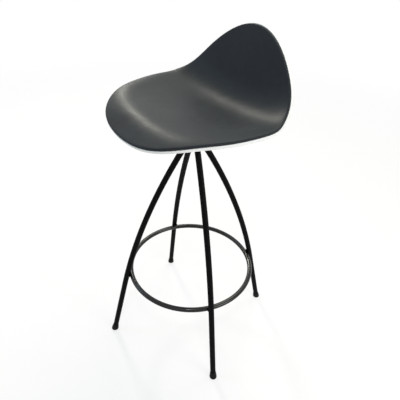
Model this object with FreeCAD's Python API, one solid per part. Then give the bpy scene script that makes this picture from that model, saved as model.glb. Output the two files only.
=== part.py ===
import FreeCAD, Part
import os
from functools import lru_cache
from math import atan2, ceil, cos, pi, radians, sin, sqrt, tan

# Swivel bar stool: a two-tone saddle seat with a low back, turning on four bent rod legs with a foot ring.
# Millimetres and degrees. The floor is z = 0, the swivel axis is the Z axis and the seat faces -Y.

# Seat form along its middle line; a station is the distance along that line, back from the swivel axis
SEAT_HEIGHT = 747.0  # top of the pad above the floor, at the swivel axis
SEAT_TILT = 5.2  # the seat falls towards the back by this angle
BACK_STATION = 100.6  # middle of the bend from seat to back
BACK_LENGTH = 177.0  # length of that bend along the surface
BACK_TURN = 78.0  # how far the back turns up from the seat

# Seat form, across: the sides rise over the middle by an amount that changes along the seat
DISH_POWER = 2.4  # the rise grows with this power of the distance from the middle
DISH_FRONT = 23.3  # rise of the sides at the front
DISH_MIDDLE = 35.5  # rise of the sides where the back begins
DISH_TOP = 9.2  # wrap of the back at its top
DISH_FRONT_START = -106.0  # the rise grows from here
DISH_FRONT_END = 95.0  # to here
DISH_BACK_START = 80.0  # and fades from here
DISH_BACK_END = 210.0  # to here

# Rolled edge: outside the rim line, a superellipse round the front and the sides, the surface rolls over
RIM_STATION = 43.0  # widest place of the rim line
RIM_LENGTH = 195.0  # from there to its front
RIM_HALF_WIDTH = 213.0
RIM_POWER = 3.0  # 2 would be an ellipse, more is squarer
ROLL_TURN = 33.0  # how far the surface turns down
ROLL_LENGTH = 68.0  # length of that bend, half of it inside the rim line

# Seat outline on the surface: an ellipse with a small egg term and a small corner term
HALF_WIDTH = 223.6
HALF_LENGTH = 248.2
OUTLINE_STATION = 28.2  # middle of the ellipse
OUTLINE_EGG = 7.1  # shifts the widest place forwards
OUTLINE_CORNER = 7.1  # squares the front, points the top

# Seat walls
PAD_THICKNESS = 6.0
PAD_EDGE_ROUND = 3.0
SHELL_RIM = 9.0  # shell thickness at its edge
SHELL_MIDDLE = 17.0  # shell thickness in the middle
SHELL_LEDGE = 1.0  # the shell stands out this far round the pad
SHELL_EDGE_ROUND = 4.0
BOSS_MARGIN = 5.0  # the shell's flat boss stands out round the mounting plate
BOSS_DROP = 5.0  # the boss ends this far below the shell's underside at the swivel axis
BOSS_EDGE_ROUND = 0.6

# Plate and its fasteners
PLATE_THICKNESS = 4.0
PLATE_MARGIN = 8.0  # plate outside the washers
PLATE_EDGE_ROUND = 0.8
SCREW_COUNT = 4
SCREW_CIRCLE = 100.0  # diameter of the circle of screws
SCREW_START = 45.0  # the first screw stands this far from +X
SCREW_DIAMETER = 6.0
SCREW_ENGAGEMENT = 9.0  # length of screw inside the insert
SCREW_HEAD_RIM = 2.5  # head outside the shank
SCREW_HEAD_HEIGHT = 4.0
SCREW_HEX_SIDES = 6  # sides of the drive socket
SCREW_HEX_WIDTH = 4.0  # across its flats
SCREW_HEX_DEPTH = 2.2
SCREW_HOLE_CLEARANCE = 0.3  # round the screw in plate and washer
THREAD_CLEARANCE = 0.05  # round the screw in its insert
THREAD_RUNOUT = 1.0  # bore past the screw's end
WASHER_RIM = 4.0  # washer outside the shank
WASHER_THICKNESS = 1.2
INSERT_WALL = 2.0
INSERT_ROOF = 2.0

# Spindle and its thrust bearing
SPINDLE_DIAMETER = 20.0
FLANGE_THICKNESS = 5.0
WELD_LEG = 3.0  # fillet weld between flange and plate
BALL_DIAMETER = 4.0
BALL_COUNT = 14
BALL_CLEARANCE = 0.1
RACE_THICKNESS = 3.7
RACE_SHOULDER = 1.75  # race on each side of the balls
RACE_BORE_CLEARANCE = 0.03  # upper race on the spindle
RACE_FREE_CLEARANCE = 0.5  # lower race round the spindle
GROOVE_DEPTH = 0.7
CAGE_PLAY = 0.5  # between the cage and each race
CAGE_MARGIN = 0.9  # cage stays inside the races by this much
SHROUD_GAP = 4.0  # between shroud and hub
SHROUD_WALL = 1.8
SHROUD_OVERLAP = 4.0  # the shroud hangs over the hub by this much
SHROUD_ROOM = 0.2  # between the shroud and the weld above it

# Hub
HUB_LENGTH = 56.0
HUB_WALL = 3.5  # beside the counterbore
HUB_EDGE_ROUND = 1.0
BUSH_LENGTH = 15.0
BUSH_WALL = 1.5
BUSH_CLEARANCE = 0.04  # round the spindle
BUSH_FLANGE_REACH = 3.0
BUSH_FLANGE_THICKNESS = 1.5
BUSH_RECESS = 1.0  # upper bush stays below the hub's top
COUNTERBORE_ROOM = 1.0  # round the bush's flange
END_PLAY = 0.2
RETAINER_WIDTH = 4.0  # washer outside the spindle
RETAINER_THICKNESS = 1.5
RETAINER_CLEARANCE = 0.15  # round the spindle
CIRCLIP_WIDTH = 3.0  # circlip outside the spindle
CIRCLIP_THICKNESS = 1.2
CIRCLIP_GROOVE_DEPTH = 0.5
CIRCLIP_GAP = 5.0  # between the circlip's ends
SPINDLE_TAIL = 1.8  # spindle below the circlip
CAP_ROOM = 2.3  # between the spindle's end and the cap
CAP_FLANGE_THICKNESS = 1.5
CAP_PLUG_LENGTH = 1.2
CAP_PLUG_WALL = 1.6

# Legs, foot ring and glides
LEG_NAMES = ["right", "back", "left", "front"]
LEG_DIAMETER = 16.0
LEG_TURN = -16.5  # the right-hand leg stands this far from +X
FOOT_RADIUS = 257.0  # leg axis at the floor
LEG_LEAN = 13.2  # lean of the straight lower part
STRAIGHT_HEIGHT = 204.6  # the bend starts here
LEG_MEET_RISE = 17.0  # leg axes meet the hub this far above its lower end
BEAD = 2.5  # size of the weld beads on legs and ring
ROOT_GAP = 0.2  # between ring and legs, under the bead
RING_DIAMETER = 14.0  # rod of the foot ring
RING_HEIGHT = 231.6
GLIDE_BASE = 5.0  # glide under the rod's end
GLIDE_HEIGHT = 18.0
GLIDE_WALL = 0.8  # at the glide's upper end
GLIDE_FLARE = 2.8  # foot of the glide outside the rod
GLIDE_FOOT_HEIGHT = 4.5
GLIDE_EDGE_ROUND = 1.2

# Fineness of the seat surface: spacing of its control points, and points along its outline
SURFACE_STEP = 11.0
SURFACE_MARGIN = 24.0  # surface carried past the outline before it is trimmed
PROFILE_STEP = 1.0
OUTLINE_POINTS = 64
SEAM_TOLERANCE = 0.02
EDGE_TOLERANCE = 0.0001  # an edge this close to a height lies at it

# Sizes worked out from the values above
SCREW_HEAD_DIAMETER = SCREW_DIAMETER + 2 * SCREW_HEAD_RIM
WASHER_DIAMETER = SCREW_DIAMETER + 2 * WASHER_RIM
INSERT_DIAMETER = SCREW_DIAMETER + 2 * INSERT_WALL
INSERT_BORE_LENGTH = SCREW_ENGAGEMENT + THREAD_RUNOUT
INSERT_LENGTH = INSERT_BORE_LENGTH + INSERT_ROOF
PLATE_DIAMETER = SCREW_CIRCLE + WASHER_DIAMETER + 2 * PLATE_MARGIN
BOSS_DIAMETER = PLATE_DIAMETER + 2 * BOSS_MARGIN
RACE_DIAMETER = SPINDLE_DIAMETER + 2 * (BALL_DIAMETER + 2 * RACE_SHOULDER)
BALL_CIRCLE = (SPINDLE_DIAMETER + RACE_DIAMETER) / 2
RACE_GAP = BALL_DIAMETER - 2 * GROOVE_DEPTH
BEARING_HEIGHT = 2 * RACE_THICKNESS + RACE_GAP
CAGE_THICKNESS = RACE_GAP - 2 * CAGE_PLAY
HUB_BORE = SPINDLE_DIAMETER + 2 * BUSH_WALL
BUSH_BORE = SPINDLE_DIAMETER + 2 * BUSH_CLEARANCE
BUSH_FLANGE_DIAMETER = HUB_BORE + 2 * BUSH_FLANGE_REACH
COUNTERBORE_DIAMETER = BUSH_FLANGE_DIAMETER + 2 * COUNTERBORE_ROOM
HUB_DIAMETER = COUNTERBORE_DIAMETER + 2 * HUB_WALL
FLANGE_DIAMETER = HUB_DIAMETER + 2 * SHROUD_GAP
RETAINER_DIAMETER = SPINDLE_DIAMETER + 2 * RETAINER_WIDTH
CIRCLIP_DIAMETER = SPINDLE_DIAMETER + 2 * CIRCLIP_WIDTH
GROOVE_FLOOR = SPINDLE_DIAMETER - 2 * CIRCLIP_GROOVE_DEPTH
GLIDE_FOOT_DIAMETER = LEG_DIAMETER + 2 * GLIDE_FLARE

# Heights worked out from the values above
PLATE_TOP = SEAT_HEIGHT - PAD_THICKNESS - SHELL_MIDDLE - BOSS_DROP
PLATE_BOTTOM = PLATE_TOP - PLATE_THICKNESS
FLANGE_BOTTOM = PLATE_BOTTOM - FLANGE_THICKNESS
SHROUD_TOP = PLATE_BOTTOM - WELD_LEG - SHROUD_ROOM
HUB_TOP = FLANGE_BOTTOM - BEARING_HEIGHT
BALL_HEIGHT = HUB_TOP + BEARING_HEIGHT / 2
HUB_BOTTOM = HUB_TOP - HUB_LENGTH
SPINDLE_BOTTOM = HUB_BOTTOM + CAP_ROOM
CIRCLIP_BOTTOM = SPINDLE_BOTTOM + SPINDLE_TAIL
CIRCLIP_TOP = CIRCLIP_BOTTOM + CIRCLIP_THICKNESS
RETAINER_TOP = CIRCLIP_TOP + RETAINER_THICKNESS
COUNTERBORE_TOP = RETAINER_TOP + END_PLAY + BUSH_FLANGE_THICKNESS
LEG_MEET_HEIGHT = HUB_BOTTOM + LEG_MEET_RISE

UP = FreeCAD.Vector(0, 0, 1)
ORIGIN = FreeCAD.Vector(0, 0, 0)


def at_height(z):
    """Point on the swivel axis."""
    return FreeCAD.Vector(0, 0, z)


def disc(diameter, bottom, top):
    """Solid cylinder about the swivel axis between two heights."""
    return Part.makeCylinder(diameter / 2, top - bottom, at_height(bottom), UP)


def tube(outer, inner, bottom, top):
    """Tube about the swivel axis between two heights."""
    return disc(outer, bottom, top).cut(disc(inner, bottom, top))


def revolved(points):
    """Solid of revolution about the swivel axis from (radius, height) corners."""
    corners = [FreeCAD.Vector(r, 0, z) for r, z in points]
    return Part.Face(Part.makePolygon(corners + corners[:1])).revolve(ORIGIN, UP, 360)


def turned(shape, angle):
    """Copy of a shape, turned about the swivel axis."""
    copy = shape.copy()
    copy.rotate(ORIGIN, UP, angle)
    return copy


def round_edges(solid, radius, wanted):
    """Fillet the edges that the test picks."""
    return solid.makeFillet(radius, [edge for edge in solid.Edges if wanted(edge)])


def lies_at(z):
    """Test for edges that lie in the plane at one height."""

    def test(edge):
        box = edge.BoundBox
        return abs(box.ZMin - z) < EDGE_TOLERANCE and abs(box.ZMax - z) < EDGE_TOLERANCE

    return test


def smooth_step(u):
    """0 below 0, 1 above 1, with no kink in slope or curvature between."""
    u = min(max(u, 0.0), 1.0)
    return u ** 3 * (10 - 15 * u + 6 * u * u)


# Seat surface


def seat_slope(station):
    """Angle of the middle line above the horizontal, in radians, before the edge is rolled over."""
    back = smooth_step((station - BACK_STATION) / BACK_LENGTH + 0.5)
    return radians(BACK_TURN) * back - radians(SEAT_TILT)


@lru_cache(maxsize=None)
def middle_line(station):
    """(y, z) of the middle line, by adding up short steps from the swivel axis."""
    count = max(1, ceil(abs(station) / PROFILE_STEP))
    step = station / count
    slopes = [seat_slope((i + 0.5) * step) for i in range(count)]
    y = sum(cos(a) for a in slopes) * step
    z = sum(sin(a) for a in slopes) * step
    return y, SEAT_HEIGHT + z


def dish(station):
    """Rise of the seat's sides over its middle, square to the surface."""
    front = smooth_step((station - DISH_FRONT_START) / (DISH_FRONT_END - DISH_FRONT_START))
    back = smooth_step((station - DISH_BACK_START) / (DISH_BACK_END - DISH_BACK_START))
    return DISH_FRONT + (DISH_MIDDLE - DISH_FRONT) * front - (DISH_MIDDLE - DISH_TOP) * back


def roll(x, station):
    """Drop of the rolled edge: its slope grows by the smooth step, so the drop is that step's integral."""
    ahead = max(0.0, RIM_STATION - station) / RIM_LENGTH
    reach = ((abs(x) / RIM_HALF_WIDTH) ** RIM_POWER + ahead ** RIM_POWER) ** (1 / RIM_POWER)
    u = max(0.0, RIM_LENGTH * (reach - 1) / ROLL_LENGTH + 0.5)
    bend = min(u, 1.0)
    integral = bend ** 4 * (2.5 - 3 * bend + bend * bend) + u - bend
    return tan(radians(ROLL_TURN)) * ROLL_LENGTH * integral


def seat_point(x, station):
    """Point on the top of the pad."""
    y, z = middle_line(station)
    slope = seat_slope(station)
    rise = dish(station) * (abs(x) / HALF_WIDTH) ** DISH_POWER - roll(x, station)
    return FreeCAD.Vector(x, y - rise * sin(slope), z + rise * cos(slope))


def seat_normal(x, station):
    """Outward direction square to the top of the pad."""
    across = seat_point(x + PROFILE_STEP, station) - seat_point(x - PROFILE_STEP, station)
    along = seat_point(x, station + PROFILE_STEP) - seat_point(x, station - PROFILE_STEP)
    normal = across.cross(along)
    return normal.normalize()


def shell_depth(x, station):
    """Depth of the shell's underside below the pad's top: thick in the middle, thinner at the edge."""
    reach = (x / HALF_WIDTH) ** 2 + ((station - OUTLINE_STATION) / HALF_LENGTH) ** 2
    swell = (SHELL_MIDDLE - SHELL_RIM) * max(0.0, 1 - reach)
    return PAD_THICKNESS + SHELL_RIM + swell


def spline_places(low, high):
    """Knots of a cubic spline over a span, and the places of its control points."""
    count = ceil((high - low) / SURFACE_STEP)
    knots = [low + (high - low) * i / count for i in range(count + 1)]
    padded = [low] * 3 + knots + [high] * 3
    places = [sum(padded[i + 1:i + 4]) / 3 for i in range(count + 3)]
    return knots, places


def sheet(depth):
    """Spline surface at a depth below the pad's top, with (x, station) as its own coordinates."""
    reach_x = HALF_WIDTH + SURFACE_MARGIN
    reach_s = HALF_LENGTH + SURFACE_MARGIN
    knots_x, places_x = spline_places(-reach_x, reach_x)
    knots_s, places_s = spline_places(OUTLINE_STATION - reach_s, OUTLINE_STATION + reach_s)
    poles = [
        [seat_point(x, s) - seat_normal(x, s) * depth(x, s) for s in places_s]
        for x in places_x
    ]
    times_x = [4] + [1] * (len(knots_x) - 2) + [4]
    times_s = [4] + [1] * (len(knots_s) - 2) + [4]
    surface = Part.BSplineSurface()
    surface.buildFromPolesMultsKnots(poles, times_x, times_s, knots_x, knots_s, False, False, 3, 3)
    return surface


def outline(ledge):
    """Closed curve of the seat's outline in (x, station), standing out by a ledge."""
    grow = 1 + ledge / HALF_WIDTH
    points = []
    for i in range(OUTLINE_POINTS):
        t = 2 * pi * i / OUTLINE_POINTS
        x = HALF_WIDTH * sin(t)
        s = -HALF_LENGTH * cos(t) + OUTLINE_EGG * cos(2 * t) + OUTLINE_CORNER * cos(4 * t)
        points.append(FreeCAD.Base.Vector2d(grow * x, OUTLINE_STATION + grow * s))
    curve = Part.Geom2d.BSplineCurve2d()
    curve.interpolate(points, PeriodicFlag=True)
    return curve


def trimmed(surface, curve):
    """The part of a surface inside a closed curve given in the surface's own coordinates."""
    pieces, _ = surface.toShape().generalFuse([curve.toShape(surface)])
    inside = surface.value(0, OUTLINE_STATION)
    return min(pieces.Faces, key=lambda face: face.distToShape(Part.Vertex(inside))[0])


def moulding(upper, lower, curve):
    """Solid between two sheets, with an edge wall square to them."""
    top = trimmed(upper, curve)
    bottom = trimmed(lower, curve)
    wall = Part.makeRuledSurface(top.OuterWire, bottom.OuterWire)
    skin = Part.makeShell([top, bottom] + wall.Faces)
    skin.sewShape(SEAM_TOLERANCE)
    solid = Part.makeSolid(skin)
    if solid.Volume < 0:
        solid.reverse()
    return solid


def rim_edge(solid, surface, curve):
    """The closed edge of a moulding that runs round one of its sheets."""
    place = curve.value(curve.FirstParameter)
    start = Part.Vertex(surface.value(place.x, place.y))
    closed = [edge for edge in solid.Edges if edge.isClosed()]
    return min(closed, key=lambda edge: edge.distToShape(start)[0])


PAD_TOP = sheet(lambda x, s: 0.0)
PAD_UNDERSIDE = sheet(lambda x, s: PAD_THICKNESS)
SHELL_UNDERSIDE = sheet(shell_depth)


def seat_pad():
    """Dark skin that one sits on, with a rounded upper edge."""
    curve = outline(0.0)
    pad = moulding(PAD_TOP, PAD_UNDERSIDE, curve)
    return pad.makeFillet(PAD_EDGE_ROUND, [rim_edge(pad, PAD_TOP, curve)])


def screw_places():
    """Angles of the plate's screws."""
    return [SCREW_START + 360 / SCREW_COUNT * i for i in range(SCREW_COUNT)]


def at_screws(shape):
    """One copy of a shape, made on the +X side of the screw circle, at each screw."""
    return [turned(shape, angle) for angle in screw_places()]


def screw_cylinder(diameter, bottom, top):
    """Upright cylinder at the +X side of the screw circle."""
    return Part.makeCylinder(diameter / 2, top - bottom, FreeCAD.Vector(SCREW_CIRCLE / 2, 0, bottom), UP)


def seat_shell():
    """White shell under the pad, with a flat boss and pockets for the threaded inserts."""
    curve = outline(SHELL_LEDGE)
    shell = moulding(PAD_UNDERSIDE, SHELL_UNDERSIDE, curve)
    shell = shell.makeFillet(SHELL_EDGE_ROUND, [rim_edge(shell, SHELL_UNDERSIDE, curve)])
    boss = disc(BOSS_DIAMETER, PLATE_TOP, SEAT_HEIGHT - PAD_THICKNESS - SHELL_RIM)
    shell = shell.fuse(round_edges(boss, BOSS_EDGE_ROUND, lies_at(PLATE_TOP)))
    pocket = screw_cylinder(INSERT_DIAMETER, PLATE_TOP, PLATE_TOP + INSERT_LENGTH)
    return shell.cut(at_screws(pocket))


def threaded_inserts():
    """Four threaded inserts moulded into the shell, closed at the top."""
    body = screw_cylinder(INSERT_DIAMETER, PLATE_TOP, PLATE_TOP + INSERT_LENGTH)
    bore = screw_cylinder(SCREW_DIAMETER + 2 * THREAD_CLEARANCE, PLATE_TOP, PLATE_TOP + INSERT_BORE_LENGTH)
    return Part.makeCompound(at_screws(body.cut(bore)))


# Plate, screws and spindle


def mounting_plate():
    """Round steel plate under the shell."""
    plate = disc(PLATE_DIAMETER, PLATE_BOTTOM, PLATE_TOP)
    plate = round_edges(plate, PLATE_EDGE_ROUND, lies_at(PLATE_BOTTOM))
    hole = screw_cylinder(SCREW_DIAMETER + 2 * SCREW_HOLE_CLEARANCE, PLATE_BOTTOM, PLATE_TOP)
    return plate.cut(at_screws(hole))


def plate_washers():
    """Four washers under the screw heads."""
    bottom = PLATE_BOTTOM - WASHER_THICKNESS
    body = screw_cylinder(WASHER_DIAMETER, bottom, PLATE_BOTTOM)
    hole = screw_cylinder(SCREW_DIAMETER + 2 * SCREW_HOLE_CLEARANCE, bottom, PLATE_BOTTOM)
    return Part.makeCompound(at_screws(body.cut(hole)))


def plate_screws():
    """Four button-head socket screws, from below."""
    seat = PLATE_BOTTOM - WASHER_THICKNESS
    bottom = seat - SCREW_HEAD_HEIGHT
    head = screw_cylinder(SCREW_HEAD_DIAMETER, bottom, seat)
    head = round_edges(head, SCREW_HEAD_HEIGHT / 2, lies_at(bottom))
    shank = screw_cylinder(SCREW_DIAMETER, seat, PLATE_TOP + SCREW_ENGAGEMENT)
    corner = SCREW_HEX_WIDTH / 2 / cos(pi / SCREW_HEX_SIDES)
    centre = FreeCAD.Vector(SCREW_CIRCLE / 2, 0, bottom)
    first = centre + FreeCAD.Vector(corner, 0, 0)
    hexagon = []
    for i in range(SCREW_HEX_SIDES + 1):
        point = Part.Vertex(first)
        point.rotate(centre, UP, 360 / SCREW_HEX_SIDES * i)
        hexagon.append(point.Point)
    socket = Part.Face(Part.makePolygon(hexagon)).extrude(UP * SCREW_HEX_DEPTH)
    return Part.makeCompound(at_screws(head.fuse(shank).cut(socket)))


def spindle():
    """Flanged shaft welded under the plate, with a groove for the circlip near its end."""
    flange = disc(FLANGE_DIAMETER, FLANGE_BOTTOM, PLATE_BOTTOM)
    shaft = disc(SPINDLE_DIAMETER, SPINDLE_BOTTOM, FLANGE_BOTTOM)
    groove = tube(SPINDLE_DIAMETER, GROOVE_FLOOR, CIRCLIP_BOTTOM, CIRCLIP_TOP)
    return flange.fuse(shaft).cut(groove)


def spindle_weld():
    """Fillet weld round the flange, against the plate."""
    edge = FLANGE_DIAMETER / 2
    section = [(edge, PLATE_BOTTOM), (edge + WELD_LEG, PLATE_BOTTOM), (edge, PLATE_BOTTOM - WELD_LEG)]
    return revolved(section)


def bearing_shroud():
    """Dust sleeve that hangs from the flange over the bearing and the hub's top."""
    outer = FLANGE_DIAMETER + 2 * SHROUD_WALL
    return tube(outer, FLANGE_DIAMETER, HUB_TOP - SHROUD_OVERLAP, SHROUD_TOP)


# Thrust bearing


def ball_track():
    """Groove that the balls run in."""
    return Part.makeTorus(BALL_CIRCLE / 2, BALL_DIAMETER / 2 + BALL_CLEARANCE, at_height(BALL_HEIGHT), UP)


def upper_race():
    """Race that sits on the spindle, against its flange."""
    bore = SPINDLE_DIAMETER + 2 * RACE_BORE_CLEARANCE
    return tube(RACE_DIAMETER, bore, FLANGE_BOTTOM - RACE_THICKNESS, FLANGE_BOTTOM).cut(ball_track())


def lower_race():
    """Race that lies on the hub."""
    bore = SPINDLE_DIAMETER + 2 * RACE_FREE_CLEARANCE
    return tube(RACE_DIAMETER, bore, HUB_TOP, HUB_TOP + RACE_THICKNESS).cut(ball_track())


def ball(radius, angle):
    """One ball at its place on the ball circle."""
    place = FreeCAD.Vector(BALL_CIRCLE / 2, 0, BALL_HEIGHT)
    return turned(Part.makeSphere(radius, place), angle)


def ball_angles():
    """Angles of the balls."""
    return [360 / BALL_COUNT * i for i in range(BALL_COUNT)]


def ball_cage():
    """Flat cage that keeps the balls apart."""
    outer = RACE_DIAMETER - 2 * CAGE_MARGIN
    inner = SPINDLE_DIAMETER + 2 * CAGE_MARGIN
    cage = tube(outer, inner, BALL_HEIGHT - CAGE_THICKNESS / 2, BALL_HEIGHT + CAGE_THICKNESS / 2)
    return cage.cut([ball(BALL_DIAMETER / 2 + BALL_CLEARANCE, angle) for angle in ball_angles()])


def bearing_balls():
    """The balls of the thrust bearing."""
    return Part.makeCompound([ball(BALL_DIAMETER / 2, angle) for angle in ball_angles()])


# Hub


def hub_tube():
    """Thick tube that the legs are welded to, bored for the bushes and counterbored below."""
    hub = disc(HUB_DIAMETER, HUB_BOTTOM, HUB_TOP)
    hub = round_edges(hub, HUB_EDGE_ROUND, lies_at(HUB_TOP))
    hub = hub.cut(disc(HUB_BORE, HUB_BOTTOM, HUB_TOP))
    return hub.cut(disc(COUNTERBORE_DIAMETER, HUB_BOTTOM, COUNTERBORE_TOP))


def upper_bush():
    """Plain bush just below the hub's top."""
    top = HUB_TOP - BUSH_RECESS
    return tube(HUB_BORE, BUSH_BORE, top - BUSH_LENGTH, top)


def lower_bush():
    """Flanged bush, its flange against the roof of the counterbore."""
    sleeve = tube(HUB_BORE, BUSH_BORE, COUNTERBORE_TOP, COUNTERBORE_TOP + BUSH_LENGTH)
    flange_bottom = COUNTERBORE_TOP - BUSH_FLANGE_THICKNESS
    flange = tube(BUSH_FLANGE_DIAMETER, BUSH_BORE, flange_bottom, COUNTERBORE_TOP)
    return sleeve.fuse(flange).removeSplitter()


def thrust_washer():
    """Washer between the circlip and the lower bush."""
    return tube(RETAINER_DIAMETER, SPINDLE_DIAMETER + 2 * RETAINER_CLEARANCE, CIRCLIP_TOP, RETAINER_TOP)


def circlip():
    """Open ring in the spindle's groove."""
    body = tube(CIRCLIP_DIAMETER, GROOVE_FLOOR, CIRCLIP_BOTTOM, CIRCLIP_TOP)
    corner = FreeCAD.Vector(0, -CIRCLIP_GAP / 2, CIRCLIP_BOTTOM)
    return body.cut(Part.makeBox(CIRCLIP_DIAMETER, CIRCLIP_GAP, CIRCLIP_THICKNESS, corner))


def hub_cap():
    """Cap that closes the hub from below, with a short plug in the counterbore."""
    bottom = HUB_BOTTOM - CAP_FLANGE_THICKNESS
    cover = disc(HUB_DIAMETER, bottom, HUB_BOTTOM)
    cover = round_edges(cover, CAP_FLANGE_THICKNESS / 2, lies_at(bottom))
    plug_bore = COUNTERBORE_DIAMETER - 2 * CAP_PLUG_WALL
    plug = tube(COUNTERBORE_DIAMETER, plug_bore, HUB_BOTTOM, HUB_BOTTOM + CAP_PLUG_LENGTH)
    return cover.fuse(plug)


# Legs: straight from the floor, then one long arc in to the hub, all in the X-Z plane before they are turned


def bend_start():
    """(radius, height) where the leg's bend starts."""
    return FOOT_RADIUS - STRAIGHT_HEIGHT * tan(radians(LEG_LEAN)), STRAIGHT_HEIGHT


def leg_arc():
    """Radius of the leg's bend and its lean at the hub, from the two ends that the bend joins."""
    start_r, start_z = bend_start()
    lean = radians(LEG_LEAN)
    chord_lean = atan2(start_r - HUB_DIAMETER / 2, LEG_MEET_HEIGHT - start_z)
    end_lean = 2 * chord_lean - lean
    return (LEG_MEET_HEIGHT - start_z) / (sin(end_lean) - sin(lean)), end_lean


def arc_point(lean):
    """Point on the leg's bend where it leans by the angle given, in radians."""
    start_r, start_z = bend_start()
    radius, _ = leg_arc()
    first = radians(LEG_LEAN)
    r = start_r - radius * (cos(first) - cos(lean))
    z = start_z + radius * (sin(lean) - sin(first))
    return FreeCAD.Vector(r, 0, z)


def axis_direction():
    """Direction of the leg's straight part, upwards."""
    lean = radians(LEG_LEAN)
    return FreeCAD.Vector(-sin(lean), 0, cos(lean))


def foot_point(distance):
    """Point on the leg's straight axis, at a distance from the floor along it."""
    return FreeCAD.Vector(FOOT_RADIUS, 0, 0) + axis_direction() * distance


def leg_rod(diameter):
    """Round rod along the leg, carried on into the hub by half the hub's width."""
    radius, end_lean = leg_arc()
    over_lean = end_lean + HUB_DIAMETER / 2 / radius
    start = foot_point(GLIDE_BASE)
    bend = arc_point(radians(LEG_LEAN))
    middle = arc_point((radians(LEG_LEAN) + over_lean) / 2)
    path = Part.Wire([
        Part.LineSegment(start, bend).toShape(),
        Part.Arc(bend, middle, arc_point(over_lean)).toShape(),
    ])
    circle = Part.Wire([Part.makeCircle(diameter / 2, start, axis_direction())])
    return path.makePipeShell([circle], True, False)


def hub_core(growth):
    """Solid cylinder of the hub, wider by a growth all round, past both of its ends."""
    return disc(HUB_DIAMETER + 2 * growth, HUB_BOTTOM - HUB_DIAMETER, HUB_TOP + HUB_DIAMETER)


def leg():
    """One leg, coped to the hub."""
    return leg_rod(LEG_DIAMETER).cut(hub_core(0.0))


def leg_angles():
    """Angle of each leg about the swivel axis, by name."""
    step = 360 / len(LEG_NAMES)
    return {name: LEG_TURN + step * i for i, name in enumerate(LEG_NAMES)}


def leg_welds():
    """Weld beads between the legs and the hub."""
    bead = leg_rod(LEG_DIAMETER + 2 * BEAD).common(hub_core(BEAD))
    bead = bead.cut([leg_rod(LEG_DIAMETER), hub_core(0.0)])
    return Part.makeCompound([turned(bead, angle) for angle in leg_angles().values()])


def ring_radius():
    """Radius of the foot ring's own axis: the ring lies against the inner side of the legs."""
    reach = LEG_DIAMETER / 2 + ROOT_GAP + RING_DIAMETER / 2
    lean = radians(LEG_LEAN)
    start_r, start_z = bend_start()
    if RING_HEIGHT + reach * sin(lean) <= start_z:
        return FOOT_RADIUS - RING_HEIGHT * tan(lean) - reach / cos(lean)
    radius, _ = leg_arc()
    centre_r = start_r - radius * cos(lean)
    centre_z = start_z - radius * sin(lean)
    return centre_r + sqrt((radius - reach) ** 2 - (RING_HEIGHT - centre_z) ** 2)


def foot_torus(diameter):
    """Foot ring with a rod of the diameter given."""
    return Part.makeTorus(ring_radius(), diameter / 2, at_height(RING_HEIGHT), UP)


def footrest_ring():
    """Foot ring, bent from rod."""
    return foot_torus(RING_DIAMETER)


def ring_welds():
    """Weld beads between the foot ring and the legs."""
    bead = leg_rod(LEG_DIAMETER + 2 * BEAD).common(foot_torus(RING_DIAMETER + 2 * BEAD))
    bead = bead.cut([leg_rod(LEG_DIAMETER), foot_torus(RING_DIAMETER)])
    return Part.makeCompound([turned(bead, angle) for angle in leg_angles().values()])


def glide():
    """Flared ferrule on a leg's end, cut flat on the floor."""
    collar = LEG_DIAMETER / 2 + GLIDE_WALL
    foot = GLIDE_FOOT_DIAMETER / 2
    top = foot_point(GLIDE_HEIGHT)
    waist = foot_point(GLIDE_FOOT_HEIGHT)
    below = foot_point(-GLIDE_FOOT_HEIGHT)
    axis = axis_direction()
    flare = Part.makeCone(foot, collar, GLIDE_HEIGHT - GLIDE_FOOT_HEIGHT, waist, axis)
    base = Part.makeCylinder(foot, 2 * GLIDE_FOOT_HEIGHT, below, axis)
    corner = FreeCAD.Vector(FOOT_RADIUS - 2 * foot, -2 * foot, -2 * foot)
    floor = Part.makeBox(4 * foot, 4 * foot, 2 * foot, corner)
    solid = base.fuse(flare).cut(floor)
    solid = round_edges(solid, GLIDE_EDGE_ROUND, lies_at(0.0))
    socket = Part.makeCylinder(LEG_DIAMETER / 2, GLIDE_HEIGHT, foot_point(GLIDE_BASE), axis)
    return solid.cut(socket)


def stool():
    """Every piece of the stool, by name."""
    pieces = {
        "seat_pad": seat_pad(),
        "seat_shell": seat_shell(),
        "threaded_inserts": threaded_inserts(),
        "mounting_plate": mounting_plate(),
        "plate_washers": plate_washers(),
        "plate_screws": plate_screws(),
        "spindle": spindle(),
        "spindle_weld": spindle_weld(),
        "bearing_shroud": bearing_shroud(),
        "upper_race": upper_race(),
        "lower_race": lower_race(),
        "ball_cage": ball_cage(),
        "bearing_balls": bearing_balls(),
        "hub_tube": hub_tube(),
        "upper_bush": upper_bush(),
        "lower_bush": lower_bush(),
        "thrust_washer": thrust_washer(),
        "circlip": circlip(),
        "hub_cap": hub_cap(),
        "leg_welds": leg_welds(),
        "footrest_ring": footrest_ring(),
        "ring_welds": ring_welds(),
    }
    one_leg = leg()
    one_glide = glide()
    for name, angle in leg_angles().items():
        pieces["leg_" + name] = turned(one_leg, angle)
        pieces["glide_" + name] = turned(one_glide, angle)
    return pieces


def main():
    """Write one file for each piece."""
    os.makedirs("parts", exist_ok=True)
    for name, shape in stool().items():
        shape.exportStep(os.path.join("parts", name + ".step"))
        state = "valid" if shape.isValid() else "NOT VALID"
        print(name, state, len(shape.Solids), "solids", round(shape.Volume), "mm3")


main()
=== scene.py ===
import logging
import math
from dataclasses import dataclass, field
from enum import Enum

import bpy
import numpy as np
from mathutils import Matrix


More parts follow.
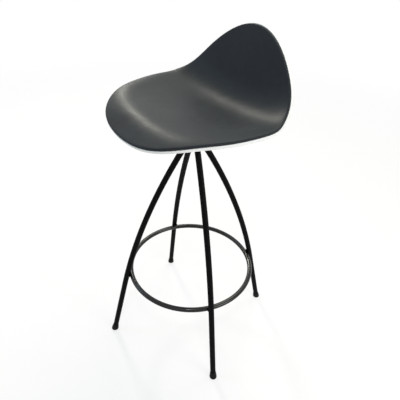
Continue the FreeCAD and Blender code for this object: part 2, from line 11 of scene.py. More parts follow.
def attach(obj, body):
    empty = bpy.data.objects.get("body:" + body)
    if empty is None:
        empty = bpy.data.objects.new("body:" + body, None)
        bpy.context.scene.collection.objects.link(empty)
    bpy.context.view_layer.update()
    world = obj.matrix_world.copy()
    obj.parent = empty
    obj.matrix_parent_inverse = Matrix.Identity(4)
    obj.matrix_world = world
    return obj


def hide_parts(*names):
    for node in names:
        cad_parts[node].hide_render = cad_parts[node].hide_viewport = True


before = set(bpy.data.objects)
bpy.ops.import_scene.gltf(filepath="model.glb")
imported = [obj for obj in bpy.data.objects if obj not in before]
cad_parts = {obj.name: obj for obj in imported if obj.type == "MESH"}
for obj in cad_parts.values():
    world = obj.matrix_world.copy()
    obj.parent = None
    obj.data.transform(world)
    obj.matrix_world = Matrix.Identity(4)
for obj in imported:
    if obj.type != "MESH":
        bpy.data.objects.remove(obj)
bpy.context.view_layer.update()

# Looks of a swivel bar stool: a saddle seat with a dark skin on a white shell, on bent black rods.
# Metres. The floor is z = 0, the swivel axis is the Z axis and the seat faces -Y.

log = logging.getLogger("stool")

Colour = tuple[float, float, float, float]
Array = np.ndarray


class Body(Enum):
    """Bodies of the stool that new pieces ride on."""

    SEAT = "seat"


class Slot(Enum):
    """Finishes of the stool, by the names that its record gives them."""

    SKIN = "seat_skin"
    SHELL = "seat_shell"
    COAT = "black_steel"
    PLASTIC = "black_plastic"
    ZINC = "zinc_steel"
    TURNED = "turned_steel"
    BRASS = "brass"
    NYLON = "bush_nylon"


class Direction(Enum):
    """Ways in which tool marks run over a turned or plated piece."""

    ROUND = (1.0, 1.0, 14.0)
    NONE = (1.0, 1.0, 1.0)


def rgba(red: float, green: float, blue: float) -> Colour:
    """Opaque colour from its three linear parts."""
    return red, green, blue, 1.0


def smooth_step(u: Array) -> Array:
    """0 below 0 and 1 above 1, with the quintic u cubed times (10 - 15 u + 6 u squared) between them.

    Args:
        u: Places on the step.

    Returns:
        The step's height at each place.
    """
    u = np.clip(u, 0.0, 1.0)
    return u ** 3 * (10 - 15 * u + 6 * u * u)


# Node helpers


class Graph:
    """Short hand for placing and joining the nodes of one tree."""

    blend_inputs = (0, 6, 7)  # share, first and second colour of a Mix node
    blend_output = 2  # its mixed colour

    def __init__(self, tree: bpy.types.NodeTree) -> None:
        """Keep the tree that nodes are added to."""
        self.tree = tree

    def node(self, kind: str, values: dict | None = None, **settings: object) -> bpy.types.Node:
        """Add a node.

        Args:
            kind: Blender's name of the node type.
            values: Inputs by name or number, each a plain value or a socket to link from.
            settings: Properties of the node itself.

        Returns:
            The new node.
        """
        made = self.tree.nodes.new(kind)
        for name, value in settings.items():
            setattr(made, name, value)
        for name, value in (values or {}).items():
            if isinstance(value, bpy.types.NodeSocket):
                self.tree.links.new(value, made.inputs[name])
            else:
                made.inputs[name].default_value = value
        return made

    def math(self, operation: str, first: object, second: object = 0.0) -> bpy.types.NodeSocket:
        """Output of a Math node on two values or sockets."""
        return self.node("ShaderNodeMath", {0: first, 1: second}, operation=operation).outputs[0]

    def span(self, value: object, low: float, high: float, to_low: float,
             to_high: float) -> bpy.types.NodeSocket:
        """Output of a Map Range node that carries low..high to to_low..to_high and stays inside them."""
        values = {"Value": value, "From Min": low, "From Max": high, "To Min": to_low, "To Max": to_high}
        return self.node("ShaderNodeMapRange", values).outputs["Result"]

    def blend(self, share: object, first: object, second: object) -> bpy.types.NodeSocket:
        """Colour that goes from the first to the second with the share."""
        mix = self.node("ShaderNodeMix", data_type="RGBA")
        for place, value in zip(self.blend_inputs, (share, first, second)):
            if isinstance(value, bpy.types.NodeSocket):
                self.tree.links.new(value, mix.inputs[place])
            else:
                mix.inputs[place].default_value = value
        return mix.outputs[self.blend_output]

    def noise(self, vector: object, scale: object, detail: float = 2.0,
              roughness: float = 0.5) -> bpy.types.NodeSocket:
        """Value of a noise texture, about 0 to 1."""
        values = {"Vector": vector, "Scale": scale, "Detail": detail, "Roughness": roughness}
        return self.node("ShaderNodeTexNoise", values).outputs[0]


class Effects:
    """Shader node groups that several finishes share, each built once."""

    warp_scale = 0.35  # scale of the noise that bends the cells, as a share of theirs
    warp_reach = 0.0011  # metres that the cells are bent by, at most
    dome_span = (0.05, 0.75)  # distances in a cell from its top to its valley
    fine_scale = 2.3  # scale of the finer noise, as a multiple of the cells'
    broad_share = 0.65  # share of the tone that the broad patches give
    tone_span = (0.36, 0.64)  # noise values of the dark and the light tone
    speck_span = (0.05, 0.09)  # distances from a speck's middle where it starts to fade and ends
    rare_span = (0.93, 0.94)  # random values above which a cell has a speck

    def __init__(self) -> None:
        """Build every group."""
        self.grain = self.build_grain()
        self.patina = self.build_patina()

    @staticmethod
    def start(name: str, inputs: dict[str, float],
              outputs: list[str]) -> tuple[bpy.types.NodeTree, Graph, dict]:
        """New group with a Vector input, number inputs and number outputs.

        Args:
            name: Name of the group.
            inputs: Number inputs with their first values.
            outputs: Names of the number outputs.

        Returns:
            The group, a graph to build in it, and its input sockets by name.
        """
        tree = bpy.data.node_groups.new(name, "ShaderNodeTree")
        tree.interface.new_socket("Vector", in_out="INPUT", socket_type="NodeSocketVector")
        for label, value in inputs.items():
            socket = tree.interface.new_socket(label, in_out="INPUT", socket_type="NodeSocketFloat")
            socket.default_value = value
        for label in outputs:
            tree.interface.new_socket(label, in_out="OUTPUT", socket_type="NodeSocketFloat")
        graph = Graph(tree)
        entry = graph.node("NodeGroupInput")
        return tree, graph, {socket.name: socket for socket in entry.outputs}

    def build_grain(self) -> bpy.types.NodeTree:
        """Moulded grain: small rounded cells with soft valleys, broken up by a finer noise.

        Returns:
            Group with the inputs Cell (cells per metre) and Fine (share of the finer noise), and the
            output Height.
        """
        tree, graph, inputs = self.start("moulded_grain", {"Cell": 900.0, "Fine": 0.4}, ["Height"])
        warp_scale = graph.math("MULTIPLY", inputs["Cell"], self.warp_scale)
        warp = graph.noise(inputs["Vector"], warp_scale, detail=1.0)
        shift = graph.math("MULTIPLY", warp, self.warp_reach)
        moved = graph.node(
            "ShaderNodeVectorMath", {0: inputs["Vector"], 1: shift}, operation="ADD"
        ).outputs[0]
        cells = graph.node(
            "ShaderNodeTexVoronoi", {"Vector": moved, "Scale": inputs["Cell"]}, feature="SMOOTH_F1"
        ).outputs["Distance"]
        domes = graph.span(cells, *self.dome_span, 1.0, 0.0)
        fine_scale = graph.math("MULTIPLY", inputs["Cell"], self.fine_scale)
        fine = graph.noise(inputs["Vector"], fine_scale, roughness=0.6)
        height = graph.math("ADD", domes, graph.math("MULTIPLY", fine, inputs["Fine"]))
        graph.node("NodeGroupOutput", {"Height": height})
        return tree

    def build_patina(self) -> bpy.types.NodeTree:
        """Slow and quick changes of tone over a surface, and a few pale specks of dust.

        Returns:
            Group with the inputs Broad and Close (patches per metre) and Specks (specks per metre), and the
            outputs Tone (0 to 1) and Dust (mostly 0).
        """
        inputs = {"Broad": 5.0, "Close": 60.0, "Specks": 110.0}
        tree, graph, sockets = self.start("patina", inputs, ["Tone", "Dust"])
        broad = graph.noise(sockets["Vector"], sockets["Broad"], detail=3.0, roughness=0.55)
        close = graph.noise(sockets["Vector"], sockets["Close"], detail=4.0, roughness=0.6)
        broad_part = graph.math("MULTIPLY", broad, self.broad_share)
        close_part = graph.math("MULTIPLY", close, 1 - self.broad_share)
        both = graph.math("ADD", broad_part, close_part)
        tone = graph.span(both, *self.tone_span, 0.0, 1.0)
        voronoi = graph.node(
            "ShaderNodeTexVoronoi", {"Vector": sockets["Vector"], "Scale": sockets["Specks"]}, feature="F1"
        )
        speck = graph.span(voronoi.outputs["Distance"], *self.speck_span, 1.0, 0.0)
        red = graph.node("ShaderNodeSeparateColor", {"Color": voronoi.outputs["Color"]}).outputs[0]
        rare = graph.span(red, *self.rare_span, 0.0, 1.0)
        graph.node("NodeGroupOutput", {"Tone": tone, "Dust": graph.math("MULTIPLY", speck, rare)})
        return tree


# Finishes


@dataclass(frozen=True)
class Finish:
    """Base of every finish: a Principled shader fed by Object coordinates.

    Colours are linear. The roughness goes with the tone, from dark to light. The bump is a strength.
    """

    name: str
    dark: Colour
    light: Colour
    roughness: tuple[float, float] = (0.4, 0.5)
    specular: float = 0.5
    metallic: float = 0.0
    bump: float = 0.35

    def start(self) -> tuple[bpy.types.Material, Graph, bpy.types.NodeSocket, bpy.types.Node]:
        """New material with its shader's constant values set.

        Returns:
            The material, a graph on its nodes, the Object coordinates and the Principled shader.
        """
        material = bpy.data.materials.new(self.name)
        material.use_nodes = True
        material.diffuse_color = self.light
        graph = Graph(material.node_tree)
        shader = material.node_tree.nodes["Principled BSDF"]
        shader.inputs["Specular IOR Level"].default_value = self.specular
        shader.inputs["Metallic"].default_value = self.metallic
        place = graph.node("ShaderNodeTexCoord").outputs["Object"]
        return material, graph, place, shader

    def add_tone(self, effects: Effects, graph: Graph, place: bpy.types.NodeSocket, shader: bpy.types.Node,
                 **values: float) -> bpy.types.Node:
        """Feed colour and roughness from the patina group.

        Args:
            effects: The shared groups.
            graph: Graph of the material.
            place: Object coordinates.
            shader: The Principled shader.
            values: Values of the group's inputs.

        Returns:
            The placed patina group.
        """
        patina = graph.node("ShaderNodeGroup", node_tree=effects.patina)
        graph.tree.links.new(place, patina.inputs["Vector"])
        for label, value in values.items():
            patina.inputs[label].default_value = value
        colour = graph.blend(patina.outputs["Tone"], self.dark, self.light)
        rough = graph.span(patina.outputs["Tone"], 0.0, 1.0, *self.roughness)
        graph.tree.links.new(colour, shader.inputs["Base Color"])
        graph.tree.links.new(rough, shader.inputs["Roughness"])
        return patina

    def add_bump(self, graph: Graph, shader: bpy.types.Node, height: bpy.types.NodeSocket,
                 distance: float) -> None:
        """Feed a height into the shader's normal.

        Args:
            graph: Graph of the material.
            shader: The Principled shader.
            height: Height over the surface.
            distance: Metres for a height of 1.
        """
        bump = graph.node("ShaderNodeBump", {"Height": height, "Strength": self.bump, "Distance": distance})
        graph.tree.links.new(bump.outputs[0], shader.inputs["Normal"])


@dataclass(frozen=True)
class SoftSkin(Finish):
    """Soft-touch moulded skin: a fine pebble grain on a slightly wavy surface, with a little dust.

    Cells and waves are counts per metre, the wave share is their height in grain heights, and dust is the
    share of the dust's colour in a speck.
    """

    bump: float = 0.5
    cells: float = 820.0
    grain_height: float = 0.00006
    dust: float = 0.16
    dust_colour: Colour = rgba(0.5, 0.5, 0.48)
    waves: float = 16.0
    wave_share: float = 45.0

    def build(self, effects: Effects) -> bpy.types.Material:
        """Make the material.

        Args:
            effects: The shared groups.

        Returns:
            The material.
        """
        material, graph, place, shader = self.start()
        patina = self.add_tone(effects, graph, place, shader, Broad=7.0, Close=60.0, Specks=95.0)
        grain = graph.node("ShaderNodeGroup", node_tree=effects.grain)
        graph.tree.links.new(place, grain.inputs["Vector"])
        grain.inputs["Cell"].default_value = self.cells
        waves = graph.math("MULTIPLY", graph.noise(place, self.waves, roughness=0.45), self.wave_share)
        height = graph.math("ADD", grain.outputs["Height"], waves)
        self.add_bump(graph, shader, height, self.grain_height)
        tone = shader.inputs["Base Color"].links[0].from_socket
        share = graph.math("MULTIPLY", patina.outputs["Dust"], self.dust)
        dusty = graph.blend(share, tone, self.dust_colour)
        graph.tree.links.new(dusty, shader.inputs["Base Color"])
        return material


@dataclass(frozen=True)
class Moulded(Finish):
    """Moulded plastic with a very fine etched surface."""

    cells: float = 1500.0
    grain_height: float = 0.00002

    def build(self, effects: Effects) -> bpy.types.Material:
        """Make the material.

        Args:
            effects: The shared groups.

        Returns:
            The material.
        """
        material, graph, place, shader = self.start()
        self.add_tone(effects, graph, place, shader, Broad=7.0, Close=80.0)
        grain = graph.node("ShaderNodeGroup", node_tree=effects.grain)
        graph.tree.links.new(place, grain.inputs["Vector"])
        grain.inputs["Cell"].default_value = self.cells
        self.add_bump(graph, shader, grain.outputs["Height"], self.grain_height)
        return material


@dataclass(frozen=True)
class PowderCoat(Finish):
    """Satin powder coat with a faint orange peel."""

    peel: float = 420.0
    peel_height: float = 0.00005

    def build(self, effects: Effects) -> bpy.types.Material:
        """Make the material.

        Args:
            effects: The shared groups.

        Returns:
            The material.
        """
        material, graph, place, shader = self.start()
        self.add_tone(effects, graph, place, shader, Broad=9.0, Close=120.0)
        peel = graph.noise(place, self.peel, roughness=0.45)
        self.add_bump(graph, shader, peel, self.peel_height)
        return material


@dataclass(frozen=True)
class Metal(Finish):
    """Bare or plated metal with fine tool marks."""

    bump: float = 0.25
    marks: Direction = Direction.ROUND
    mark_scale: float = 260.0
    mark_height: float = 0.00002

    def build(self, effects: Effects) -> bpy.types.Material:
        """Make the material.

        Args:
            effects: The shared groups.

        Returns:
            The material.
        """
        material, graph, place, shader = self.start()
        self.add_tone(effects, graph, place, shader, Broad=40.0, Close=300.0)
        stretched = graph.node("ShaderNodeMapping", {"Vector": place, "Scale": self.marks.value}).outputs[0]
        lines = graph.noise(stretched, self.mark_scale, detail=3.0, roughness=0.6)
        self.add_bump(graph, shader, lines, self.mark_height)
        return material


def make_finishes(effects: Effects) -> dict[Slot, bpy.types.Material]:
    """Every finish of the stool.

    Args:
        effects: The shared groups.

    Returns:
        Materials by slot.
    """
    finishes = {
        Slot.SKIN: SoftSkin(
            "soft_skin", rgba(0.0138, 0.0163, 0.0196), rgba(0.0212, 0.025, 0.03), (0.44, 0.51),
            specular=0.11
        ),
        Slot.SHELL: Moulded("white_shell", rgba(0.84, 0.84, 0.83), rgba(0.88, 0.88, 0.87), (0.3, 0.36)),
        Slot.COAT: PowderCoat(
            "black_coat", rgba(0.002, 0.002, 0.0022), rgba(0.004, 0.004, 0.0043), (0.5, 0.56),
            specular=0.045
        ),
        Slot.PLASTIC: Moulded(
            "black_plastic", rgba(0.003, 0.003, 0.003), rgba(0.006, 0.006, 0.006), (0.4, 0.5), specular=0.12
        ),
        Slot.ZINC: Metal(
            "zinc_plate", rgba(0.5, 0.51, 0.53), rgba(0.62, 0.63, 0.65), (0.28, 0.4), metallic=1.0,
            marks=Direction.NONE
        ),
        Slot.TURNED: Metal(
            "turned_steel", rgba(0.45, 0.45, 0.46), rgba(0.58, 0.58, 0.59), (0.2, 0.32), metallic=1.0
        ),
        Slot.BRASS: Metal(
            "brass", rgba(0.62, 0.44, 0.2), rgba(0.74, 0.55, 0.28), (0.25, 0.38), metallic=1.0
        ),
        Slot.NYLON: Moulded("natural_nylon", rgba(0.66, 0.63, 0.55), rgba(0.74, 0.71, 0.63), (0.42, 0.5)),
    }
    return {slot: finish.build(effects) for slot, finish in finishes.items()}


# Seat


@dataclass(frozen=True)
class SeatForm:
    """Saddle surface of the seat and its outline. A station is the distance along the middle line."""

    seat_height: float = 0.747
    seat_tilt: float = math.radians(5.2)
    back_station: float = 0.1006
    back_length: float = 0.177
    back_turn: float = math.radians(78.0)
    dish_power: float = 2.4
    dish_front: float = 0.0233
    dish_middle: float = 0.0355
    dish_top: float = 0.0092
    dish_front_start: float = -0.106
    dish_front_end: float = 0.095
    dish_back_start: float = 0.080
    dish_back_end: float = 0.210
    rim_station: float = 0.043
    rim_length: float = 0.195
    rim_half_width: float = 0.213
    rim_power: float = 3.0
    roll_turn: float = math.radians(33.0)
    roll_length: float = 0.068
    half_width: float = 0.2236
    half_length: float = 0.2482
    outline_station: float = 0.0282
    outline_egg: float = 0.0071
    outline_corner: float = 0.0071
    table_reach: float = 0.40
    table_step: float = 0.00025

    def slope(self, s: Array) -> Array:
        """Angle of the middle line without the rolled edge: the seat's tilt, then the back's turn."""
        back = smooth_step((s - self.back_station) / self.back_length + 0.5)
        return self.back_turn * back - self.seat_tilt

    def roll(self, x: Array, s: Array) -> Array:
        """Drop of the edge that rolls over outside the rim line, a superellipse round front and sides.

        The slope grows by the smooth step over the roll's length, so the drop is the sum of that step: u to
        the fourth times (2.5 - 3 u + u squared), then straight on.

        Args:
            x: Places across.
            s: Stations.

        Returns:
            The drop at each place.
        """
        ahead = np.maximum(0.0, self.rim_station - s) / self.rim_length
        aside = np.abs(x) / self.rim_half_width
        reach = (aside ** self.rim_power + ahead ** self.rim_power) ** (1 / self.rim_power)
        u = np.maximum(0.0, self.rim_length * (reach - 1) / self.roll_length + 0.5)
        bend = np.minimum(u, 1.0)
        grown = bend ** 4 * (2.5 - 3 * bend + bend * bend) + (u - bend)
        return math.tan(self.roll_turn) * self.roll_length * grown

    def middle_line(self, s: Array) -> tuple[Array, Array]:
        """Middle line, by adding up the cosine and sine of its slope from the swivel axis.

        Args:
            s: Stations.

        Returns:
            Their y and z.
        """
        stations = np.arange(-self.table_reach, self.table_reach, self.table_step)
        slopes = self.slope(stations + self.table_step / 2)
        run = np.concatenate([[0.0], np.cumsum(np.cos(slopes))]) * self.table_step
        rise = np.concatenate([[0.0], np.cumsum(np.sin(slopes))]) * self.table_step
        places = np.append(stations, self.table_reach)
        y = np.interp(s, places, run) - np.interp(0.0, places, run)
        z = np.interp(s, places, rise) - np.interp(0.0, places, rise)
        return y, self.seat_height + z

    def dish(self, s: Array) -> Array:
        """Rise of the sides over the middle: it grows behind the lip and fades up the back."""
        front = smooth_step((s - self.dish_front_start) / (self.dish_front_end - self.dish_front_start))
        back = smooth_step((s - self.dish_back_start) / (self.dish_back_end - self.dish_back_start))
        grown = self.dish_front + (self.dish_middle - self.dish_front) * front
        return grown - (self.dish_middle - self.dish_top) * back

    def points(self, x: Array, s: Array) -> Array:
        """Points on the top: the middle line, raised square to its slope by the dish, which grows with a
        power of x / half width, and lowered by the roll.

        Args:
            x: Places across.
            s: Stations.

        Returns:
            Points, with x, y, z along the last axis.
        """
        y, z = self.middle_line(s)
        slope = self.slope(s)
        rise = self.dish(s) * (np.abs(x) / self.half_width) ** self.dish_power - self.roll(x, s)
        return np.stack([x, y - rise * np.sin(slope), z + rise * np.cos(slope)], axis=-1)

    def normals(self, x: Array, s: Array) -> Array:
        """Unit normals of the top, from the cross product of small steps across and along it."""
        step = 0.0005
        across = self.points(x + step, s) - self.points(x - step, s)
        along = self.points(x, s + step) - self.points(x, s - step)
        normal = np.cross(across, along)
        return normal / np.linalg.norm(normal, axis=-1, keepdims=True)

    def outline(self, t: Array) -> Array:
        """Outline in (x, station): an ellipse with cos 2t and cos 4t terms.

        Args:
            t: Angles round it, from the front.

        Returns:
            (x, station) pairs along the last axis.
        """
        x = self.half_width * np.sin(t)
        s = -self.half_length * np.cos(t) + self.outline_egg * np.cos(2 * t)
        s = s + self.outline_corner * np.cos(4 * t)
        return np.stack([x, self.outline_station + s], axis=-1)

    def inward(self, t: Array) -> Array:
        """Unit normals of the outline that point into the seat, from small steps along it."""
        step = 0.001
        along = self.outline(t + step) - self.outline(t - step)
        normal = np.stack([-along[..., 1], along[..., 0]], axis=-1)
        return normal / np.linalg.norm(normal, axis=-1, keepdims=True)


@dataclass
class Section:
    """Section through the skin's edge, from the middle of its top to the middle of its underside.

    Each place has a share of the way out from the middle, an inset from the outline and a depth below the
    top surface.
    """

    share: Array
    inset: Array
    depth: Array


@dataclass
class SkinMoulding:
    """Dark skin that one sits on, of one thickness, between two surfaces that follow the seat's form."""

    form: SeatForm
    wall: float = 0.006
    top_round: float = 0.003
    bottom_round: float = 0.0004
    columns: int = 256
    rings: int = 44
    arc_steps: int = 8
    rim: float = 0.016
    rim_rings: int = 5

    def section(self) -> Section:
        """Section with both edges rounded by quarter circles, and closer rings next to them.

        Returns:
            The section's places.
        """
        inner = np.linspace(0.0, 1.0, self.rings + 1)[1:]
        near = np.linspace(self.rim, self.top_round, self.rim_rings + 1)[1:]
        far = np.linspace(self.bottom_round, self.rim, self.rim_rings + 1)[1:-1]
        arc = np.linspace(0.0, math.pi / 2, self.arc_steps + 1)
        level = np.full(len(inner), self.rim)
        top_inset = self.top_round * (1 - np.sin(arc[1:]))
        top_depth = self.top_round * (1 - np.cos(arc[1:]))
        low_inset = self.bottom_round * (1 - np.cos(arc))
        low_depth = self.wall - self.bottom_round * (1 - np.sin(arc))
        inset = np.concatenate([level, near, top_inset, low_inset, far, level])
        above = np.zeros(len(inner) + len(near))
        below = np.full(len(far) + len(inner), self.wall)
        depth = np.concatenate([above, top_depth, low_depth, below])
        share = np.concatenate([inner, np.ones(len(inset) - 2 * len(inner)), inner[::-1]])
        return Section(share, inset, depth)

    def rows(self) -> Array:
        """Rings of the moulding: the outline, set in along its own normal and drawn to the middle by each
        share, carried down along the surface's normal by each depth.

        Returns:
            Array of rings, places round them, and x, y, z.
        """
        t = np.arange(self.columns) * 2 * math.pi / self.columns
        edge = self.form.outline(t)
        inward = self.form.inward(t)
        middle = np.array([0.0, self.form.outline_station])
        cut = self.section()
        flat = edge[None] + inward[None] * cut.inset[:, None, None]
        flat = middle + (flat - middle) * cut.share[:, None, None]
        x, s = flat[..., 0], flat[..., 1]
        return self.form.points(x, s) - self.form.normals(x, s) * cut.depth[:, None, None]

    def build(self) -> bpy.types.Object:
        """Make the skin's mesh: a fan, rings of quads, and a fan.

        Returns:
            The new object, at the origin.
        """
        rows = self.rows()
        x = np.zeros(1)
        s = np.full(1, self.form.outline_station)
        top = self.form.points(x, s)
        bottom = top - self.form.normals(x, s) * self.wall
        vertices = np.concatenate([top, rows.reshape(-1, 3), bottom])
        return closed_mesh("seat_skin", vertices, rows.shape[0], rows.shape[1])


def closed_mesh(name: str, vertices: Array, rows: int, columns: int) -> bpy.types.Object:
    """Mesh of rings between two poles: a fan of triangles at each pole and quads between the rings.

    Args:
        name: Name of the object.
        vertices: First pole, the rings one after another, last pole.
        rows: Number of rings.
        columns: Points round each ring.

    Returns:
        The new object, linked to the scene.
    """
    here = np.arange(columns)
    after = (here + 1) % columns
    ring = 1 + np.arange(rows - 1)[:, None] * columns
    quads = np.stack([ring + here, ring + columns + here, ring + columns + after, ring + after], axis=-1)
    first = np.stack([np.zeros(columns, int), 1 + here, 1 + after], axis=-1)
    last_ring = 1 + (rows - 1) * columns
    end = np.full(columns, len(vertices) - 1)
    last = np.stack([last_ring + here, end, last_ring + after], axis=-1)
    faces = first.tolist() + quads.reshape(-1, 4).tolist() + last.tolist()
    mesh = bpy.data.meshes.new(name)
    mesh.from_pydata(vertices.tolist(), [], faces)
    mesh.polygons.foreach_set("use_smooth", np.ones(len(faces), bool))
    mesh.update()
    made = bpy.data.objects.new(name, mesh)
    bpy.context.scene.collection.objects.link(made)
    return made


@dataclass
class Seat:
    """Skin and shell of the seat, and the threaded inserts inside it."""

    skin: SkinMoulding = field(default_factory=lambda: SkinMoulding(SeatForm()))
    skin_fill: float = 0.95
    nodes: dict[str, Slot] = field(default_factory=lambda: {
        "seat_shell": Slot.SHELL,
        "threaded_inserts": Slot.BRASS,
    })

    def build(self, finishes: dict[Slot, bpy.types.Material]) -> None:
        """Build the skin and dress the shell and the inserts.

        Args:
            finishes: Materials by slot.
        """
        skin = self.skin.build()
        add_piece(skin, Body.SEAT, Slot.SKIN, finishes, "seat_pad")
        dress(self.nodes, finishes)


def add_piece(made: bpy.types.Object, body: Body, slot: Slot, finishes: dict[Slot, bpy.types.Material],
              *stands_for: str) -> None:
    """Give a new piece its finish and its body.

    Args:
        made: The piece.
        body: Body that it rides on.
        slot: Its finish.
        finishes: Materials by slot.
        stands_for: Nodes that it replaces.
    """
    made.data.materials.append(finishes[slot])
    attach(made, body.value)
    if stands_for:
        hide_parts(*stands_for)
    log.info("%s: %d faces on %s", made.name, len(made.data.polygons), body.value)


def dress(nodes: dict[str, Slot], finishes: dict[Slot, bpy.types.Material]) -> None:
    """Give nodes of the frame their finishes.

    Args:
        nodes: Slots by node name.
        finishes: Materials by slot.
    """
    for name, slot in nodes.items():
        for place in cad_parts[name].material_slots:
            place.material = finishes[slot]
        log.info("%s: dressed with %s", name, slot.value)


@dataclass
class Swivel:
    """Plate, spindle, bearing and hub under the seat."""

    nodes: dict[str, Slot] = field(default_factory=lambda: {
        "mounting_plate": Slot.COAT,
        "plate_washers": Slot.ZINC,
        "plate_screws": Slot.ZINC,
        "spindle": Slot.TURNED,
        "spindle_weld": Slot.COAT,
        "bearing_shroud": Slot.PLASTIC,
        "upper_race": Slot.TURNED,
        "lower_race": Slot.TURNED,
        "ball_cage": Slot.BRASS,
        "bearing_balls": Slot.TURNED,
        "hub_tube": Slot.COAT,
        "upper_bush": Slot.NYLON,
        "lower_bush": Slot.NYLON,
        "thrust_washer": Slot.ZINC,
        "circlip": Slot.ZINC,
        "hub_cap": Slot.PLASTIC,
    })

    def build(self, finishes: dict[Slot, bpy.types.Material]) -> None:
        """Dress the swivel's nodes."""
        dress(self.nodes, finishes)


@dataclass
class LegFrame:
    """Legs, foot ring, weld beads and glides."""

    sides: tuple[str, ...] = ("right", "back", "left", "front")
    ring_coat: PowderCoat = PowderCoat(
        "rubbed_coat", rgba(0.002, 0.002, 0.0022), rgba(0.004, 0.004, 0.0043), (0.2, 0.25), specular=0.34,
        peel_height=0.00001
    )

    def build(self, finishes: dict[Slot, bpy.types.Material], effects: Effects) -> None:
        """Dress the nodes of the leg frame, the foot ring in a coat that shoes have rubbed smooth.

        Args:
            finishes: Materials by slot.
            effects: The shared groups.
        """
        nodes = {"ring_welds": Slot.COAT, "leg_welds": Slot.COAT}
        for side in self.sides:
            nodes["leg_" + side] = Slot.COAT
            nodes["glide_" + side] = Slot.PLASTIC
        dress(nodes, finishes)
        dress({"footrest_ring": Slot.COAT}, {Slot.COAT: self.ring_coat.build(effects)})


# Studio


@dataclass
class Softbox:
    """One rectangular lamp that points at the seat."""

    name: str
    place: tuple[float, float, float]
    size: float
    power: float
    tint: tuple[float, float, float]
    target: tuple[float, float, float] = (0.0, 0.0, 0.55)

    def build(self) -> None:
        """Add the lamp to the scene."""
        lamp = bpy.data.lights.new(self.name, "AREA")
        lamp.shape = "SQUARE"
        lamp.size = self.size
        lamp.energy = self.power
        lamp.color = self.tint
        made = bpy.data.objects.new(self.name, lamp)
        bpy.context.scene.collection.objects.link(made)
        made.matrix_world = look_at(np.array(self.place), np.array(self.target), roll=0.0)


def look_at(place: Array, target: Array, roll: float) -> Matrix:
    """Matrix of a lamp or camera that looks from a place to a target, rolled about its view.

    Args:
        place: Where it stands.
        target: Where it looks.
        roll: Turn about the view, in radians.

    Returns:
        Its world matrix.
    """
    ahead = target - place
    ahead = ahead / np.linalg.norm(ahead)
    right = np.cross(ahead, [0.0, 0.0, 1.0])
    right = right / np.linalg.norm(right)
    up = np.cross(right, ahead)
    turned_right = right * math.cos(roll) + up * math.sin(roll)
    turned_up = up * math.cos(roll) - right * math.sin(roll)
    matrix = np.eye(4)
    matrix[:3, 0] = turned_right
    matrix[:3, 1] = turned_up
    matrix[:3, 2] = -ahead
    matrix[:3, 3] = place
    return Matrix(matrix.tolist())


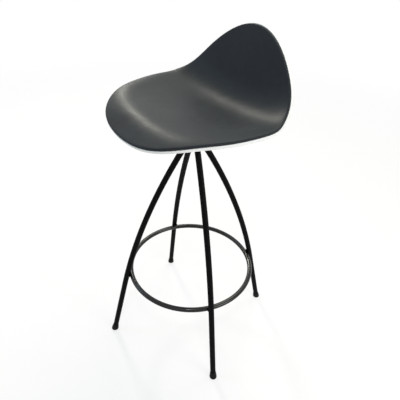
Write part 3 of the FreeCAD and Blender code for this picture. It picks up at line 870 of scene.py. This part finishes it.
@dataclass
class Studio:
    """Floor, lamps, surroundings and camera."""

    floor_reach: float = 30.0
    floor_tone: float = 0.86
    floor_roughness: float = 0.9
    fill: Colour = rgba(0.88, 0.95, 1.0)
    fill_strength: float = 0.32
    veil_near: float = 0.7
    veil_far: float = 1.0
    veil_reach: tuple[float, float] = (0.8, 3.0)
    camera_place: tuple[float, float, float] = (0.7680, -0.5255, 1.1362)
    camera_azimuth: float = math.radians(54.34)
    camera_tilt: float = math.radians(35.28)
    camera_roll: float = math.radians(2.60)
    camera_lens: float = 36.28
    camera_sensor: float = 36.0
    boxes: tuple[Softbox, ...] = (
        Softbox("key_box", (-2.25, 0.46, 2.1), 0.35, 35.0, (1.0, 0.98, 0.86)),
        Softbox("top_box", (-0.6, 1.1, 3.0), 1.4, 45.0, (1.0, 0.985, 0.82)),
        Softbox("window_box", (-1.5, -1.76, 1.97), 0.8, 11.0, (0.5, 0.76, 1.0)),
        Softbox("side_box", (2.4, 0.78, 1.25), 1.2, 31.0, (1.0, 0.99, 0.97)),
        Softbox("front_box", (1.2, -0.82, 2.7), 0.3, 13.0, (1.0, 0.99, 0.97)),
    )

    def build(self) -> None:
        """Set up the whole studio."""
        self.build_floor()
        self.build_world()
        for box in self.boxes:
            box.build()
        self.build_camera()
        bpy.context.scene.view_settings.view_transform = "Standard"

    @staticmethod
    def seen(graph: Graph) -> bpy.types.NodeSocket:
        """1 for rays from the camera and for rays that left a shiny or clear surface, 0 for other rays."""
        path = graph.node("ShaderNodeLightPath").outputs
        seen = graph.math("MAXIMUM", path["Is Camera Ray"], path["Is Glossy Ray"])
        return graph.math("MAXIMUM", seen, path["Is Transmission Ray"])

    def build_floor(self) -> None:
        """Large pale floor: one square at height 0, with a white veil that grows away from the object."""
        reach = self.floor_reach
        corners = [(-reach, -reach, 0.0), (reach, -reach, 0.0), (reach, reach, 0.0), (-reach, reach, 0.0)]
        mesh = bpy.data.meshes.new("floor")
        mesh.from_pydata(corners, [], [(0, 1, 2, 3)])
        material = bpy.data.materials.new("pale_floor")
        material.use_nodes = True
        graph = Graph(material.node_tree)
        shader = material.node_tree.nodes["Principled BSDF"]
        shader.inputs["Base Color"].default_value = rgba(self.floor_tone, self.floor_tone, self.floor_tone)
        shader.inputs["Roughness"].default_value = self.floor_roughness
        shader.inputs["Specular IOR Level"].default_value = 0.0
        place = graph.node("ShaderNodeTexCoord").outputs["Object"]
        away = graph.node("ShaderNodeVectorMath", {0: place}, operation="LENGTH").outputs["Value"]
        veil = graph.span(away, *self.veil_reach, self.veil_near, self.veil_far)
        veil = graph.math("MULTIPLY", veil, self.seen(graph))
        white = graph.node("ShaderNodeEmission", {"Color": rgba(1.0, 1.0, 1.0), "Strength": 1.0})
        mix = graph.node("ShaderNodeMixShader", {0: veil, 1: shader.outputs[0], 2: white.outputs[0]})
        graph.tree.links.new(mix.outputs[0], material.node_tree.nodes["Material Output"].inputs["Surface"])
        mesh.materials.append(material)
        floor = bpy.data.objects.new("floor", mesh)
        bpy.context.scene.collection.objects.link(floor)

    def build_world(self) -> None:
        """White surroundings for the camera and for reflections, a dim cool fill for everything else."""
        world = bpy.data.worlds.new("studio")
        bpy.context.scene.world = world
        world.use_nodes = True
        graph = Graph(world.node_tree)
        fill = world.node_tree.nodes["Background"]
        fill.inputs["Color"].default_value = self.fill
        fill.inputs["Strength"].default_value = self.fill_strength
        white = graph.node("ShaderNodeBackground", {"Color": rgba(1.0, 1.0, 1.0), "Strength": 1.0})
        parts = {0: self.seen(graph), 1: fill.outputs[0], 2: white.outputs[0]}
        mix = graph.node("ShaderNodeMixShader", parts)
        graph.tree.links.new(mix.outputs[0], world.node_tree.nodes["World Output"].inputs["Surface"])

    def build_camera(self) -> None:
        """Camera at the photograph's place and angle."""
        camera = bpy.data.cameras.new("camera")
        camera.sensor_width = self.camera_sensor
        camera.lens = self.camera_lens
        made = bpy.data.objects.new("camera", camera)
        bpy.context.scene.collection.objects.link(made)
        flat = math.cos(self.camera_tilt)
        back = np.array([
            math.sin(self.camera_azimuth) * flat,
            -math.cos(self.camera_azimuth) * flat,
            math.sin(self.camera_tilt),
        ])
        place = np.array(self.camera_place)
        made.matrix_world = look_at(place, place - back, self.camera_roll)
        bpy.context.scene.camera = made


def main() -> None:
    """Build the stool's looks and its studio."""
    logging.basicConfig(level=logging.INFO, format="%(name)s %(message)s")
    effects = Effects()
    finishes = make_finishes(effects)
    Seat().build(finishes)
    Swivel().build(finishes)
    LegFrame().build(finishes, effects)
    Studio().build()


if __name__ == "__main__":
    main()
